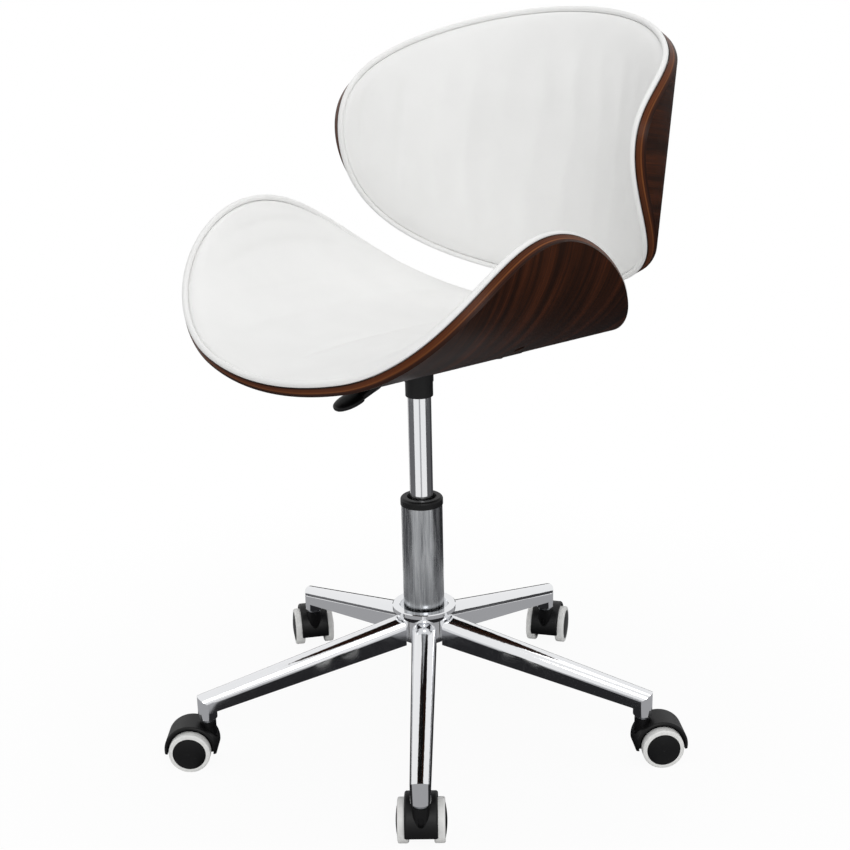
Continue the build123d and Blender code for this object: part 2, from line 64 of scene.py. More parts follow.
# %% [markdown]
# ## The camera
# The picture was taken from in front of the chair, to the sitter's left, a little above the seat.
# The place, the heading and the lens were solved from points that can be measured on the chair,
# such as the castor sockets, the column and the rims of the shells. A camera placed by eye would
# come close, but then every piece would have to be judged against a slanted picture. The small roll
# is the tilt of the hand that held the camera. Angles are in radians and places in metres.

# %% Camera
camera_at = Vector((1.0878, -1.2817, 0.9448))
heading = -0.7002
down = 0.31336
roll = -0.02189
forward = Vector((math.sin(heading) * math.cos(down), math.cos(heading) * math.cos(down), -math.sin(down)))
level = Vector((math.cos(heading), -math.sin(heading), 0.0))
upright = level.cross(forward)
right = math.cos(roll) * level + math.sin(roll) * upright
up = math.cos(roll) * upright - math.sin(roll) * level

camera = bpy.data.objects.new("camera", bpy.data.cameras.new("camera"))
camera.matrix_world = Matrix.Translation(camera_at) @ Matrix((right, up, -forward)).transposed().to_4x4()
camera.data.sensor_width = 36.0
camera.data.lens = 63.03
camera.data.clip_start = 0.05
camera.data.clip_end = 50.0
bpy.context.scene.collection.objects.link(camera)
bpy.context.scene.camera = camera
print("camera", round((camera_at - Vector((0, 0, camera_at.z))).length, 3), "m from the lift's axis")

# %% [markdown]
# ## Colours and nodes
# A colour is written as the sRGB hex value that a picture editor shows, and one function turns it
# into the linear numbers that Blender's sockets take. One more function adds a node: each input is
# a plain value, a node, whose first output is linked, or one of a node's other output sockets.


# %% Helpers for colours and nodes
def linear(hex_code):
    """sRGB hex, such as #8a5a3c, as the linear colour of a socket."""
    shares = [int(hex_code[k:k + 2], 16) / 255 for k in (1, 3, 5)]
    return (*[c / 12.92 if c <= 0.04045 else ((c + 0.055) / 1.055) ** 2.4 for c in shares], 1.0)


def add_node(tree, kind, inputs=None, stops=None, **settings):
    """Add one node with its links and settings; stops are a ramp's places and colours."""
    made = tree.nodes.new("ShaderNode" + kind)
    for name, value in settings.items():
        setattr(made, name, value)
    for key, value in (inputs or {}).items():
        source = value.outputs[0] if isinstance(value, bpy.types.Node) else value
        if isinstance(source, bpy.types.NodeSocket):
            tree.links.new(source, made.inputs[key])
        else:
            made.inputs[key].default_value = source
    for k, (place, colour) in enumerate(stops or ()):
        stop = made.color_ramp.elements[k] if k < 2 else made.color_ramp.elements.new(place)
        stop.position = place
        stop.color = linear(colour)
    return made


def new_material(name):
    made = bpy.data.materials.new(name)
    made.use_nodes = True
    made.node_tree.nodes.clear()
    return made, made.node_tree


print("the middle grey #808080 is", round(linear("#808080")[0], 3), "in linear light")

# %% [markdown]
# ## The two bent sheets
# Each shell is a sheet of veneered plywood that is bent about one direction only, with a wide
# radius in the middle and a tighter one at the wings, and an oval rim. The wood grain, the pads
# and the welts all follow that sheet, so its shape is written once: s is the way round the bend, v
# the way along the straight lines, and height the distance above the inner face. The rim is an oval
# in s and v with four small corrections: how full its shoulders are, how pointed its ends, and how
# far the wings and the quarters between them lie along the sheet.


# %% Sheet geometry
MM = 0.001


class Sheet:
    """A sheet bent about one direction, with an oval rim. Its sizes are given in millimetres."""

    def __init__(self, middle_r, middle_half, wing_r, half_width, shoulder, half_length,
                 wing_shift, end_point, waist, origin, tilt):
        self.middle_r, self.middle_half, self.wing_r = middle_r * MM, middle_half * MM, wing_r * MM
        self.half_width, self.shoulder = half_width * MM, shoulder
        self.half_length, self.wing_shift = half_length * MM, wing_shift * MM
        self.end_point, self.waist = end_point * MM, waist * MM
        self.joint = self.middle_half / self.middle_r
        self.lead = self.middle_r - self.wing_r
        self.origin, self.tilt = Vector(origin) * MM, tilt
        self.place = Matrix.Translation(self.origin) @ Matrix.Rotation(-tilt, 4, "X")

    def bent(self, s, v, height):
        """Points (n, 3) in the sheet's own axes."""
        wing = np.abs(s) > self.middle_half
        wing_turn = self.joint + (np.abs(s) - self.middle_half) / self.wing_r
        turn = np.where(wing, wing_turn, np.abs(s) / self.middle_r)
        r = np.where(wing, self.wing_r, self.middle_r)
        joint = np.minimum(turn, self.joint)
        x = (self.middle_r - r) * np.sin(joint) + (r - height) * np.sin(turn)
        z = self.middle_r - (self.middle_r - r) * np.cos(joint) - (r - height) * np.cos(turn)
        return np.stack([np.where(s < 0, -x, x), v + 0 * x, z], axis=-1)

    def rim(self, t):
        """The oval rim: s and v at the angle t."""
        s = self.half_width * ((1 - self.shoulder) * np.cos(t) + self.shoulder * np.cos(3 * t))
        v = self.half_length * np.sin(t) + self.end_point * np.sin(3 * t)
        v = v - self.wing_shift * (1 - np.cos(2 * t)) / 2 - self.waist * (1 - np.cos(4 * t)) / 2
        return s, v

    def inset_rim(self, t, inset):
        """The rim moved inwards along the sheet, and the inward direction there."""
        step = 0.001
        s, v = self.rim(t)
        ahead, behind = self.rim(t + step), self.rim(t - step)
        ds, dv = ahead[0] - behind[0], ahead[1] - behind[1]
        run = np.hypot(ds, dv)
        return s - inset * dv / run, v + inset * ds / run, -dv / run, ds / run

    def fullness(self, s, v):
        """1 in the middle of the pad and 0 on its rim."""
        across = np.clip(s / self.half_width, -1, 1)
        t = np.arcsin(across)
        rear, front = self.rim(np.pi / 2 - t)[1], self.rim(t - np.pi / 2)[1]
        half = np.maximum((rear - front) / 2, MM)
        along = np.clip((v - (rear + front) / 2) / half, -1, 1)
        return (1 - along ** 4) * (1 - across ** 4)


SHEET_T, PLY = 10 * MM, 1.2 * MM
seat_sheet = Sheet(middle_r=399.0, middle_half=97.0, wing_r=163.0, half_width=304.5, shoulder=0.07,
                   half_length=274.0, wing_shift=-70.0, end_point=-2.4, waist=4.6,
                   origin=(0, -47.0, 496.6), tilt=math.radians(4.1))
back_sheet = Sheet(middle_r=241.5, middle_half=217.0, wing_r=144.5, half_width=324.0, shoulder=-0.02,
                   half_length=162.0, wing_shift=8.4, end_point=-7.2, waist=6.9,
                   origin=(0, 300.7, 703.7), tilt=math.radians(9.2 - 90.0))
wing_rise = seat_sheet.joint + (seat_sheet.half_width - seat_sheet.middle_half) / seat_sheet.wing_r
print("the seat's wings turn up by", round(math.degrees(wing_rise)), "degrees")

# %% [markdown]
# ## Where a point lies on the bent sheet
# The wood needs to know two things that no texture coordinate gives: how deep a point lies in the
# sheet, and whether its surface is a broad face or the cut edge. Both follow from the two bending
# radii. The turn of the sheet at a point is the larger of its angles about the two centres, the depth
# is measured along that turn, and a broad face is one whose normal points the same way.


# %% Depth and face of a sheet
def sheet_nodes(tree, sheet):
    """Nodes for the place in the sheet's own axes, the depth, and how squarely the surface faces out."""
    spot = add_node(tree, "TexCoord")
    own = add_node(tree, "Mapping", {0: spot.outputs["Object"], 1: sheet.origin, 2: (-sheet.tilt, 0, 0)},
                   vector_type="TEXTURE")
    normal = add_node(tree, "Mapping", {0: spot.outputs["Normal"], 2: (sheet.tilt, 0, 0)},
                      vector_type="NORMAL")
    axes = add_node(tree, "SeparateXYZ", {0: own})
    out = add_node(tree, "Math", {0: axes}, operation="ABSOLUTE")
    side = add_node(tree, "Math", {0: axes}, operation="SIGN")
    drop = add_node(tree, "Math", {0: sheet.middle_r, 1: axes.outputs[2]}, operation="SUBTRACT")
    wing_out = add_node(tree, "Math", {0: out, 1: sheet.lead * math.sin(sheet.joint)}, operation="SUBTRACT")
    wing_drop = add_node(tree, "Math", {0: drop, 1: sheet.lead * math.cos(sheet.joint)}, operation="SUBTRACT")
    middle_turn = add_node(tree, "Math", {0: out, 1: drop}, operation="ARCTAN2")
    wing_turn = add_node(tree, "Math", {0: wing_out, 1: wing_drop}, operation="ARCTAN2")
    turn = add_node(tree, "Math", {0: middle_turn, 1: wing_turn}, operation="MAXIMUM")
    sine = add_node(tree, "Math", {0: turn}, operation="SINE")
    cosine = add_node(tree, "Math", {0: turn}, operation="COSINE")
    outward = add_node(tree, "CombineXYZ", {0: sine, 2: cosine})
    point = add_node(tree, "CombineXYZ", {0: out, 2: drop})
    far = add_node(tree, "VectorMath", {0: point, 1: outward}, operation="DOT_PRODUCT").outputs["Value"]
    past = add_node(tree, "Math", {0: turn, 1: sheet.joint}, operation="SUBTRACT")
    past = add_node(tree, "Math", {0: past, 1: 0.0}, operation="MAXIMUM")
    lead = add_node(tree, "Math", {0: past}, operation="COSINE")
    depth = add_node(tree, "Math", {0: lead, 1: -sheet.lead, 2: far}, operation="MULTIPLY_ADD")
    depth = add_node(tree, "Math", {0: depth, 1: sheet.wing_r}, operation="SUBTRACT")
    swung = add_node(tree, "Math", {0: sine, 1: side}, operation="MULTIPLY")
    fallen = add_node(tree, "Math", {0: cosine, 1: -1.0}, operation="MULTIPLY")
    facing = add_node(tree, "CombineXYZ", {0: swung, 2: fallen})
    square = add_node(tree, "VectorMath", {0: normal, 1: facing}, operation="DOT_PRODUCT").outputs["Value"]
    square = add_node(tree, "Math", {0: square}, operation="ABSOLUTE")
    return own, depth, square


print("plies: about", round(SHEET_T / PLY), "in a sheet", round(SHEET_T / MM), "mm thick")

# %% [markdown]
# ## American walnut veneer
# A sliced veneer shows long streaks that run one way, here round the bend, because plywood bends
# best across the straight lines. A picture of wood could be laid on, but it would stretch at the
# wings. Noise that is stretched along two of the sheet's own axes and tight along the third makes
# streaks that follow the bend by themselves. Three scales are laid over each other: bands of
# heartwood some 18 mm wide, growth lines about 2.4 mm apart and short dark pores. Pores are really
# 0.2 mm wide; they are drawn 0.9 mm wide, or they would vanish.

# %% Veneer of the broad faces
BAND, LINE, PORE, PORE_RUN = 18 * MM, 2.4 * MM, 0.9 * MM, 16 * MM
SWAY = 14 * MM


def veneer_nodes(tree, own):
    """Nodes for the colour of the veneer, its growth lines and its pores."""
    slow = add_node(tree, "Mapping", {0: own, 3: (5, 14, 5)})
    slow = add_node(tree, "TexNoise", {0: slow, "Scale": 1.0, "Detail": 2.0})
    sway = add_node(tree, "Math", {0: slow, 1: SWAY}, operation="MULTIPLY")
    sway = add_node(tree, "CombineXYZ", {1: sway})
    grain = add_node(tree, "VectorMath", {0: own, 1: sway}, operation="ADD")
    banded = add_node(tree, "Mapping", {0: grain, 3: (3, 1 / BAND, 3)})
    bands = add_node(tree, "TexNoise", {0: banded, "Scale": 1.0, "Detail": 3.0, "Roughness": 0.55})
    lined = add_node(tree, "Mapping", {0: grain, 3: (4, 1 / LINE, 4)})
    lines = add_node(tree, "TexNoise", {0: lined, "Scale": 1.0, "Detail": 3.0, "Roughness": 0.6})
    dashed = add_node(tree, "Mapping", {0: grain, 3: (1 / PORE_RUN, 1 / PORE, 1 / PORE_RUN)})
    pores = add_node(tree, "TexNoise", {0: dashed, "Scale": 1.0, "Detail": 1.0})
    tone = add_node(tree, "ValToRGB", {0: bands},
                    stops=[(0.3, "#200d05"), (0.72, "#562a13"), (0.5, "#341808")])
    streak = add_node(tree, "ValToRGB", {0: lines}, stops=[(0.34, "#6c6c6c"), (0.62, "#ffffff")])
    dash = add_node(tree, "ValToRGB", {0: pores}, stops=[(0.3, "#a0a0a0"), (0.42, "#ffffff")])
    veneer = add_node(tree, "Mix", {0: 0.85, 6: tone, 7: streak}, data_type="RGBA", blend_type="MULTIPLY")
    veneer = add_node(tree, "Mix", {0: 0.6, 6: veneer.outputs[2], 7: dash},
                      data_type="RGBA", blend_type="MULTIPLY")
    return veneer.outputs[2], lines, dash


print("growth lines across the seat: about", round(2 * seat_sheet.half_length / LINE))

# %% [markdown]
# ## The cut edge
# The edge shows the plies as faint lines along the rim, so their noise is tight along the depth in the
# sheet. It is lighter and redder than the veneer. A ramp along the depth paints light and shade on it
# too: a dark line by the inner face is a painted shadow of the welt, the palest band is a painted
# highlight on the arris, and the dark towards the outer face is painted shade, as if the edge rounded over.


# %% Plies at the cut edge
def edge_nodes(tree, own, depth):
    """Nodes for the colour of the cut edge, with a painted shadow, highlight and shade along the depth."""
    layered = add_node(tree, "Math", {0: depth, 1: 1 / PLY}, operation="MULTIPLY")
    layered = add_node(tree, "CombineXYZ", {0: layered})
    streaky = add_node(tree, "Mapping", {0: own, 3: (8, 8, 8)})
    layered = add_node(tree, "VectorMath", {0: layered, 1: streaky}, operation="ADD")
    plies = add_node(tree, "TexNoise", {0: layered, "Scale": 1.0, "Detail": 2.0})
    through = add_node(tree, "Math", {0: depth, 1: SHEET_T}, operation="DIVIDE")
    # Ramp along the depth: painted shadow of the welt, the edge's own tone, a painted highlight on the arris,
    # painted shade towards the outer face.
    edge_tone_and_painted_light = add_node(tree, "ValToRGB", {0: through}, stops=[
        (0.02, "#2a1308"), (0.84, "#2c1409"), (0.14, "#562a11"),
        (0.46, "#643316"), (0.56, "#854e27"), (0.66, "#472210")])
    laid = add_node(tree, "ValToRGB", {0: plies}, stops=[(0.32, "#b4b4b4"), (0.68, "#ffffff")])
    edge = add_node(tree, "Mix", {0: 0.9, 6: edge_tone_and_painted_light, 7: laid}, data_type="RGBA", blend_type="MULTIPLY")
    return edge.outputs[2]


print("a ply is", round(PLY / MM, 1), "mm thick")

# %% [markdown]
# ## Stain and lacquer
# The veneer is stained dark before it is lacquered. To the eye, the matt stain takes most of the
# shine away, and the thin lacquer leaves a faint, soft glint and a slight relief at the pores. Both
# shells take the same wood, each along its own bend.


# %% Lacquered walnut
def walnut(name, sheet):
    made, tree = new_material(name)
    own, depth, square = sheet_nodes(tree, sheet)
    veneer, lines, dash = veneer_nodes(tree, own)
    edge = edge_nodes(tree, own, depth)
    on_face = add_node(tree, "MapRange", {0: square, 1: 0.6, 2: 0.85})
    colour = add_node(tree, "Mix", {0: on_face, 6: edge, 7: veneer}, data_type="RGBA").outputs[2]
    relief = add_node(tree, "Bump", {"Strength": 0.25, "Distance": 0.2 * MM, "Height": dash})
    gloss = add_node(tree, "MapRange", {0: lines, 3: 0.36, 4: 0.5})
    skin = add_node(tree, "BsdfPrincipled", {
        "Base Color": colour, "Roughness": gloss, "IOR": 1.5, "Specular IOR Level": 0.08, "Normal": relief,
        "Coat Weight": 0.05, "Coat Roughness": 0.2})
    add_node(tree, "OutputMaterial", {0: skin})
    return made


seat_walnut = walnut("lacquered_walnut_seat", seat_sheet)
back_walnut = walnut("lacquered_walnut_back", back_sheet)
print("walnut:", len(seat_walnut.node_tree.nodes), "nodes each")

# %% [markdown]
# ## White coated fabric
# The covers are a knitted cloth with a polyurethane skin that is embossed like leather. The real
# pebbles are about 0.8 mm apart, and they are drawn 1.5 mm apart so that they show at this size.
# To the eye the skin is a little waxy: an even white with a broad, soft gloss. The pebbles are too
# low to model, so they are a bump of a tenth of a millimetre.

# %% White coated fabric
cover_white, tree = new_material("white_polyurethane_cover")
place = add_node(tree, "TexCoord")
pebble = add_node(tree, "TexVoronoi", {"Vector": place.outputs["Object"], "Scale": 1 / (1.5 * MM)},
                  feature="SMOOTH_F1")
swirl = add_node(tree, "TexNoise", {"Vector": place.outputs["Object"], "Scale": 1 / (60 * MM), "Detail": 3.0})
fine = add_node(tree, "TexNoise", {"Vector": place.outputs["Object"], "Scale": 1 / (0.9 * MM), "Detail": 2.0})
shade = add_node(tree, "ValToRGB", {0: swirl}, stops=[(0.3, "#f1f1f0"), (0.7, "#f4f4f3")])
height = add_node(tree, "Math", {0: pebble, 1: fine}, operation="ADD")
relief = add_node(tree, "Bump", {"Strength": 0.22, "Distance": 0.12 * MM, "Height": height})
gloss = add_node(tree, "MapRange", {0: fine, 3: 0.44, 4: 0.56})
skin = add_node(tree, "BsdfPrincipled", {
    "Base Color": shade, "Roughness": gloss, "IOR": 1.46, "Normal": relief})
add_node(tree, "OutputMaterial", {0: skin})
print("cover:", len(tree.nodes), "nodes")

# %% [markdown]
# ## Chromium plate
# The base and the gas cylinder are steel with bright chromium on it. To the eye it is a mirror whose
# look is the room's. Plating follows the steel below, so its reflections waver a little, and handling
# leaves a faint haze. The haze is slow noise in the roughness, and the waver a very low bump.

# %% Chromium plate
bright_chrome, tree = new_material("chromium_plate")
place = add_node(tree, "TexCoord")
haze = add_node(tree, "TexNoise", {"Vector": place.outputs["Object"], "Scale": 1 / (18 * MM), "Detail": 4.0})
waver = add_node(tree, "TexNoise", {"Vector": place.outputs["Object"], "Scale": 1 / (30 * MM), "Detail": 1.0})
gloss = add_node(tree, "MapRange", {0: haze, 1: 0.35, 2: 0.7, 3: 0.05, 4: 0.11})
relief = add_node(tree, "Bump", {"Strength": 0.15, "Distance": 0.3 * MM, "Height": waver})
skin = add_node(tree, "BsdfPrincipled", {
    "Base Color": linear("#e6e7e9"), "Metallic": 1.0, "Roughness": gloss, "Normal": relief})
add_node(tree, "OutputMaterial", {0: skin})
print("chrome:", len(tree.nodes), "nodes")

# %% [markdown]
# ## Drawn and plated tube
# The outer column is drawn tube with a thinner, greyer plate. Drawing leaves long scratches down
# the tube, some 2.5 mm apart. So the noise is stretched along the axis, and to the eye the
# reflection breaks into long grey streaks.

# %% Drawn and plated tube
drawn_tube, tree = new_material("drawn_plated_tube")
place = add_node(tree, "TexCoord")
pulled = add_node(tree, "Mapping", {"Vector": place.outputs["Object"],
                                    "Scale": (1 / (2.5 * MM), 1 / (2.5 * MM), 1 / (55 * MM))})
streaks = add_node(tree, "TexNoise", {"Vector": pulled, "Scale": 1.0, "Detail": 4.0, "Distortion": 0.6})
shade = add_node(tree, "ValToRGB", {0: streaks}, stops=[(0.35, "#85878a"), (0.65, "#b0b2b4")])
gloss = add_node(tree, "MapRange", {0: streaks, 1: 0.3, 2: 0.7, 3: 0.16, 4: 0.34})
relief = add_node(tree, "Bump", {"Strength": 0.2, "Distance": 0.1 * MM, "Height": streaks})
skin = add_node(tree, "BsdfPrincipled", {
    "Base Color": shade, "Metallic": 1.0, "Roughness": gloss, "Normal": relief})
add_node(tree, "OutputMaterial", {0: skin})
print("drawn tube:", len(tree.nodes), "nodes")

# %% [markdown]
# ## Black moulded nylon
# The hoods, the wheel centres, the lift's bush and the lever's grip are glass-filled nylon from a
# spark-eroded mould, which leaves a fine even grit of about 0.3 mm and a soft gloss. The grit is
# drawn 0.7 mm wide. A little grey in the highs of the grit keeps the black from looking like a hole.

# %% Black moulded nylon
black_nylon, tree = new_material("moulded_nylon_black")
place = add_node(tree, "TexCoord")
grit = add_node(tree, "TexNoise", {"Vector": place.outputs["Object"], "Scale": 1 / (0.7 * MM), "Detail": 3.0})
shade = add_node(tree, "ValToRGB", {0: grit}, stops=[(0.35, "#060607"), (0.7, "#101011")])
relief = add_node(tree, "Bump", {"Strength": 0.35, "Distance": 0.12 * MM, "Height": grit})
gloss = add_node(tree, "MapRange", {0: grit, 3: 0.38, 4: 0.52})
skin = add_node(tree, "BsdfPrincipled", {
    "Base Color": shade, "Roughness": gloss, "IOR": 1.53, "Specular IOR Level": 0.2, "Normal": relief})
add_node(tree, "OutputMaterial", {0: skin})
print("nylon:", len(tree.nodes), "nodes")

# %% [markdown]
# ## Black powder coat
# The plate under the seat, the strip behind it and their bolts are steel with a baked powder coat. To
# the eye it is a matt black whose skin is like orange peel, at about 1.5 mm.

# %% Powder coat
black_powder, tree = new_material("powder_coat_black")
place = add_node(tree, "TexCoord")
peel = add_node(tree, "TexNoise", {"Vector": place.outputs["Object"], "Scale": 1 / (1.5 * MM), "Detail": 2.0})
shade = add_node(tree, "ValToRGB", {0: peel}, stops=[(0.3, "#0b0b0c"), (0.7, "#141415")])
relief = add_node(tree, "Bump", {"Strength": 0.3, "Distance": 0.1 * MM, "Height": peel})
gloss = add_node(tree, "MapRange", {0: peel, 3: 0.42, 4: 0.56})
skin = add_node(tree, "BsdfPrincipled", {
    "Base Color": shade, "Roughness": gloss, "IOR": 1.5, "Specular IOR Level": 0.25, "Normal": relief})
add_node(tree, "OutputMaterial", {0: skin})
print("powder coat:", len(tree.nodes), "nodes")

# %% [markdown]
# ## Zinc plate
# Pins, stems, axles and the lever's rod are zinc plated. To the eye that is a dull, slightly blue
# metal with cloudy spangles of about 3 mm, so one noise sets both the shade and the gloss.

# %% Zinc plate
zinc_plate, tree = new_material("zinc_plated_steel")
place = add_node(tree, "TexCoord")
cloud = add_node(tree, "TexNoise", {"Vector": place.outputs["Object"], "Scale": 1 / (3 * MM), "Detail": 4.0})
shade = add_node(tree, "ValToRGB", {0: cloud}, stops=[(0.3, "#8f9296"), (0.7, "#b7babd")])
gloss = add_node(tree, "MapRange", {0: cloud, 3: 0.24, 4: 0.4})
skin = add_node(tree, "BsdfPrincipled", {"Base Color": shade, "Metallic": 1.0, "Roughness": gloss})
add_node(tree, "OutputMaterial", {0: skin})
print("zinc plate:", len(tree.nodes), "nodes")

# %% [markdown]
# ## White polyurethane
# The tyres are cast round the wheel centres in polyurethane, soft enough for a wooden floor. To the
# eye they are off-white and softly glossy, with a bloom of about 4 mm from the mould.

# %% White polyurethane tyre
white_tyre, tree = new_material("cast_polyurethane_white")
place = add_node(tree, "TexCoord")
bloom = add_node(tree, "TexNoise", {"Vector": place.outputs["Object"], "Scale": 1 / (4 * MM), "Detail": 3.0})
shade = add_node(tree, "ValToRGB", {0: bloom}, stops=[(0.3, "#efefed"), (0.7, "#f6f6f4")])
gloss = add_node(tree, "MapRange", {0: bloom, 3: 0.34, 4: 0.46})
skin = add_node(tree, "BsdfPrincipled", {"Base Color": shade, "Roughness": gloss, "IOR": 1.5})
add_node(tree, "OutputMaterial", {0: skin})
print("materials:", len(bpy.data.materials))

# %% [markdown]
# ## Finishes on the rigid pieces
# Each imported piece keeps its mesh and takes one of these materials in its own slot. Names that
# start alike are alike, so a short list of beginnings is enough, and the longest one that fits
# counts. What is left over is soft and takes the cover.

# %% Give each rigid piece its finish
finishes = {
    "seat_shell": seat_walnut, "back_shell": back_walnut,
    "base_": bright_chrome, "gas_cylinder": bright_chrome, "piston_rod": bright_chrome,
    "outer_column": drawn_tube,
    "guide_bush": black_nylon, "castor_hood": black_nylon, "wheel_core": black_nylon,
    "lever_handle": black_nylon,
    "wheel_tread": white_tyre,
    "seat_plate": black_powder, "back_bracket": black_powder, "plate_bolts": black_powder,
    "bracket_bolts": black_powder, "pad_screws": black_powder,
    "castor_": zinc_plate, "thrust_bearing": zinc_plate, "rod_clip": zinc_plate, "release_pin": zinc_plate,
    "lever_": zinc_plate,
}
for name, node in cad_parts.items():
    start = max((key for key in finishes if name.startswith(key)), key=len, default=None)
    node.data.materials.clear()
    node.data.materials.append(finishes[start] if start else cover_white)
print("finished", len(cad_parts), "pieces")

# %% [markdown]
# ## Pieces that follow a bent sheet
# Shells and pads are both closed pieces between two faces that follow the sheet. A plane could be
# bent by modifiers, but its oval would then have to be cut, which leaves ragged faces. Here a square
# grid is drawn out to the oval rim, so that no rows of the mesh meet in one point, and the rows are
# closer together near the rim, where a pad rounds over.

# %% Grids on the sheet
GRID = 81


def rim_grid(sheet, inset):
    """Grid drawn out to the inset rim: its s and v, and how far each point is inside that rim."""
    a, b = np.meshgrid(np.linspace(-1, 1, GRID), np.linspace(-1, 1, GRID), indexing="ij")
    x, y = a * np.sqrt(1 - b * b / 2), b * np.sqrt(1 - a * a / 2)
    share = 1 - (1 - np.clip(np.hypot(x, y), 0, 1)) ** 1.4
    s, v, in_s, in_v = sheet.inset_rim(np.arctan2(y, x), inset)
    middle_v = (sheet.rim(np.pi / 2)[1] + sheet.rim(-np.pi / 2)[1]) / 3
    depth = (1 - share) * (-s * in_s + (middle_v - v) * in_v)
    return share * s, middle_v + share * (v - middle_v), depth


print("a face on a sheet has", GRID * GRID, "points")


# %% Closed pieces between two grids
def stand(name, mesh, finish):
    """Give a mesh its finish and set it up in the scene as one piece."""
    mesh.materials.append(finish)
    piece = bpy.data.objects.new(name, mesh)
    bpy.context.scene.collection.objects.link(piece)
    return piece


def slab(name, sheet, top, low, finish):
    """Closed piece between two grids of points in the sheet's own axes."""
    index = np.arange(GRID * GRID).reshape(GRID, GRID)
    quads = np.stack([index[:-1, :-1], index[1:, :-1], index[1:, 1:], index[:-1, 1:]], -1).reshape(-1, 4)
    rim = np.concatenate([index[:-1, 0], index[-1, :-1], index[:0:-1, -1], index[0, :0:-1]])
    ahead, count = np.roll(rim, -1), GRID * GRID
    sides = np.stack([ahead, rim, rim + count, ahead + count], -1)
    mesh = bpy.data.meshes.new(name)
    points = np.concatenate([top.reshape(-1, 3), low.reshape(-1, 3)])
    mesh.from_pydata(points.tolist(), [], np.concatenate([quads, quads[:, ::-1] + count, sides]).tolist())
    mesh.transform(sheet.place)
    mesh.shade_smooth()
    return stand(name, mesh, finish)


print("a closed piece has", 2 * (GRID - 1) ** 2 + 4 * (GRID - 1), "faces")

# %% [markdown]
# ## The bevelled shells
# The edge of the real plywood is sanded to a slope: the inner face keeps the whole oval, and the
# outer face is 6 mm smaller all round, so from the front the far edges hide behind the welt. The
# packed shells have a square edge. A bevel on their mesh would need even rows of faces along the
# rim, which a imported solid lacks, so both are made again from the sheet, with the slope.

# %% Shells
BEVEL, CREASE = 6 * MM, 0.6


def shell(name, sheet, finish):
    inner, outer = rim_grid(sheet, 0.0), rim_grid(sheet, BEVEL)
    top = sheet.bent(*inner[:2], 0 * inner[0])
    low = sheet.bent(*outer[:2], 0 * outer[0] - SHEET_T)
    made = slab(name, sheet, top, low, finish)
    made.data.set_sharp_from_angle(angle=CREASE)
    return made


seat_ply = shell("seat_ply", seat_sheet, seat_walnut)
back_ply = shell("back_ply", back_sheet, back_walnut)
print("shells:", len(seat_ply.data.vertices), "points each")

# %% [markdown]
# ## Recesses for the pad's screws
# The seat's pad is screwed on from below, and each screw head sits in a round recess in the outer
# face. A boolean drills it, as a drill does: a cylinder stands square to the sheet at each place, half
# of it in the wood, and is taken away from the shell.

# %% Drill for the recesses
recess_r, drill_length = 6.5 * MM, 10 * MM
recess_places = [(150, 40), (100, -120)]
drill = bmesh.new()
for s, v in recess_places:
    for side in (1, -1):
        across = np.array(side * s * MM)
        outer, inner = (Vector(seat_sheet.bent(across, v * MM, height)) for height in (-SHEET_T, 0.0))
        turned = (inner - outer).to_track_quat("Z", "Y").to_matrix().to_4x4()
        square_on = Matrix.Translation(outer) @ turned
        bmesh.ops.create_cone(drill, cap_ends=True, segments=40, radius1=recess_r, radius2=recess_r,
                              depth=drill_length, matrix=seat_sheet.place @ square_on)
drill_mesh = bpy.data.meshes.new("drill")
drill.to_mesh(drill_mesh)
drill.free()
print("drill places:", 2 * len(recess_places))

# %% Drill the seat
drill_bit = bpy.data.objects.new("drill", drill_mesh)
bpy.context.scene.collection.objects.link(drill_bit)
cut = seat_ply.modifiers.new("recesses", "BOOLEAN")
cut.operation = "DIFFERENCE"
cut.solver = "EXACT"
cut.object = drill_bit
drilled = bpy.data.meshes.new_from_object(seat_ply.evaluated_get(bpy.context.evaluated_depsgraph_get()))
seat_ply.modifiers.remove(cut)
seat_ply.data = drilled
bpy.data.objects.remove(drill_bit)
print("seat shell:", len(drilled.vertices), "points with its recesses")

# %% [markdown]
# ## The padded covers
# A pad is foam on the inner face of its shell, under a cover that is pulled tight and stapled
# round the rim. It is flat below, full in the middle, and rounds down to the welt at its edge. Its
# heights are those above the inner face: at the lip by the welt, inside the round, and in the middle.

# %% Pad meshes
PAD_INSET, PAD_LIP, PAD_BASE, PAD_ROUND = 4.3 * MM, 6.2 * MM, 0.6 * MM, 14 * MM


def pad_mesh(name, sheet, edge_h, middle_h):
    """Closed pad with heights in mm, and how far each point is inside its rim: -1 on the underside."""
    s, v, depth = rim_grid(sheet, PAD_INSET)
    rise = np.sqrt(np.clip(1 - (1 - np.clip(depth / PAD_ROUND, 0, 1)) ** 2, 0, 1))
    full_h = (edge_h + (middle_h - edge_h) * sheet.fullness(s, v)) * MM
    top = sheet.bent(s, v, PAD_LIP + (full_h - PAD_LIP) * rise)
    low = sheet.bent(s, v, np.full_like(s, PAD_BASE))
    inside = np.concatenate([depth.ravel(), np.full(depth.size, -1.0)])
    return slab(name, sheet, top, low, cover_white), inside


seat_cover, seat_inside = pad_mesh("seat_cover", seat_sheet, 8.0, 26.0)
back_cover, back_inside = pad_mesh("back_cover", back_sheet, 8.0, 24.0)
print("pads:", len(seat_cover.data.vertices), "points each")

# %% [markdown]
# ## Let the foam swell
# Foam presses the cover outwards until the cloth is tight. Blender's cloth does the same: the
# underside and the rim are pinned, a small pressure pushes the rest out for twenty frames, and no
# point may move more than 4 mm, so that the pad keeps the size of the real one.

# %% Cloth simulation of the covers
FRAMES, FOAM_PRESSURE, SWELL_CAP = 20, 4.0, 4 * MM


